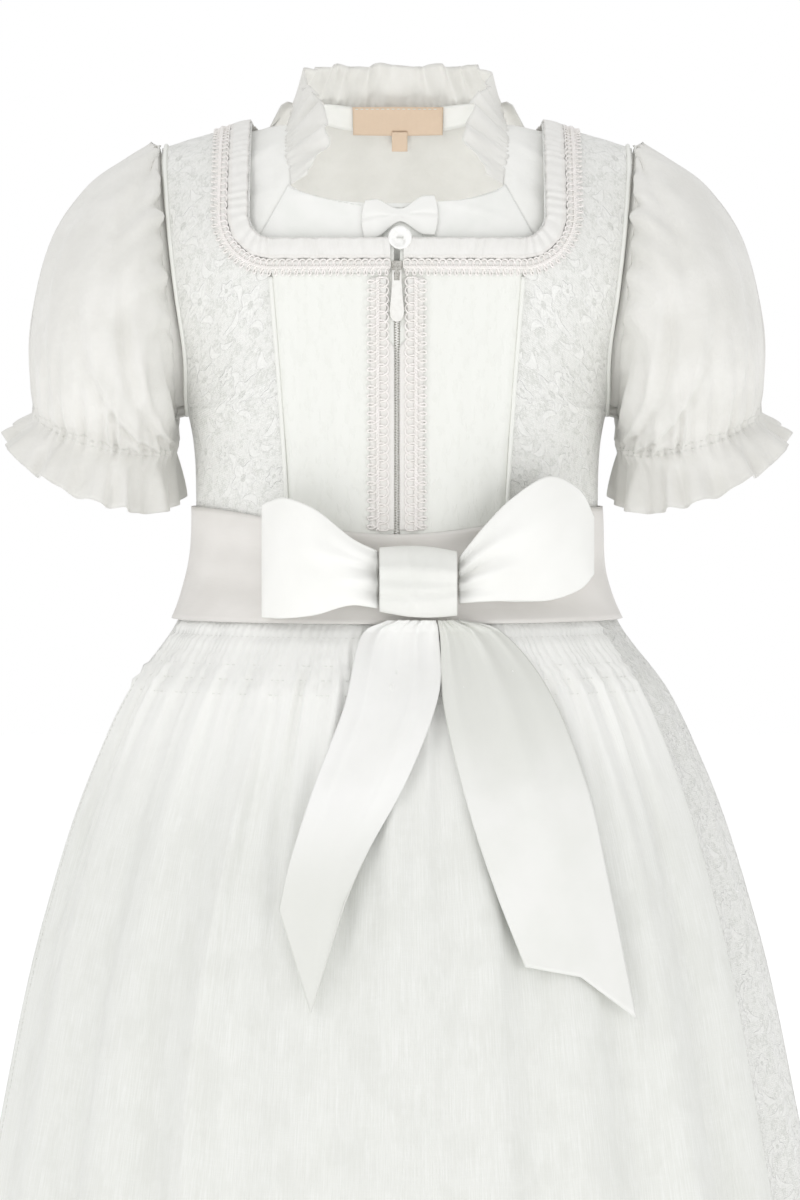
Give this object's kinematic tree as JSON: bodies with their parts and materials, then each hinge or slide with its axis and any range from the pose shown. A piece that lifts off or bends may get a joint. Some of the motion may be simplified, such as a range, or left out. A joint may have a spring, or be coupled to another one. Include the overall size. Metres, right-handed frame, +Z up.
{
  "type": "child's dirndl dress with blouse and apron",
  "caption": "White folk dress filled out as worn: bodice with front zip, puff-sleeved blouse, gathered skirt and an apron tied with a satin bow.",
  "frame": {"origin": "between the shoulders, level with the neck ends of the shoulder seams, where the wearer holds the dress up", "axes": "+Z up; the front faces -Y; +X is to the right of someone looking at the front"},
  "size_m": [0.4744, 0.416, 0.6998],
  "materials": {
    "brocade": "white floral brocade, satin motifs on a fine ribbed ground, faint silver sheen",
    "centre_satin": "off-white satin with faint vertical figured stripes",
    "blouse_satin": "smooth white cotton satin",
    "batiste": "thin matt white cotton batiste, softly crumpled",
    "sash_satin": "glossy white satin ribbon",
    "apron_cloth": "sheer off-white slub weave with fine vertical threads",
    "braid": "looped cotton gimp and ruched ribbon, slightly pinkish white",
    "zip_tape": "ecru woven tape with fine closed teeth",
    "label_ribbon": "beige woven ribbon, bare",
    "zip_enamel": "white enamel, softly glossy",
    "zip_metal": "small polished steel"
  },
  "bodies": {
    "dress": {"bodice_side_left": "brocade", "bodice_side_right": "brocade", "bodice_back_left": "brocade", "bodice_back_right": "brocade", "bodice_back_centre": "brocade", "skirt_front": "brocade", "skirt_back": "brocade", "bodice_centre_left": "centre_satin", "bodice_centre_right": "centre_satin", "princess_piping_left": "centre_satin", "princess_piping_right": "centre_satin", "armhole_piping_left": "centre_satin", "armhole_piping_right": "centre_satin", "blouse_front": "blouse_satin", "neck_band": "blouse_satin", "small_bow": "blouse_satin", "blouse_side_left": "batiste", "blouse_side_right": "batiste", "blouse_back": "batiste", "neck_ruffle": "batiste", "sleeve_left": "batiste", "sleeve_right": "batiste", "sash": "sash_satin", "bow_loop_left": "sash_satin", "bow_loop_right": "sash_satin", "bow_knot": "sash_satin", "bow_tail_left": "sash_satin", "bow_tail_right": "sash_satin", "apron": "apron_cloth", "neck_ruche_left": "braid", "neck_ruche_right": "braid", "neck_gimp_left": "braid", "neck_gimp_right": "braid", "zip_braid_left": "braid", "zip_braid_right": "braid", "zip_chain": "zip_tape", "neck_label": "label_ribbon", "size_tag": "label_ribbon", "button": "zip_enamel", "zip_slider": "zip_metal"},
    "pull_tab": {"zip_pull": "zip_enamel"}
  },
  "joints": [
    {"name": "pull_tab_hinge", "type": "hinge", "parent": "dress", "child": "pull_tab", "pos_m": [0, -0.0902, -0.0805], "axis": [-1, 0, 0], "range_deg": [0, 150]}
  ]
}
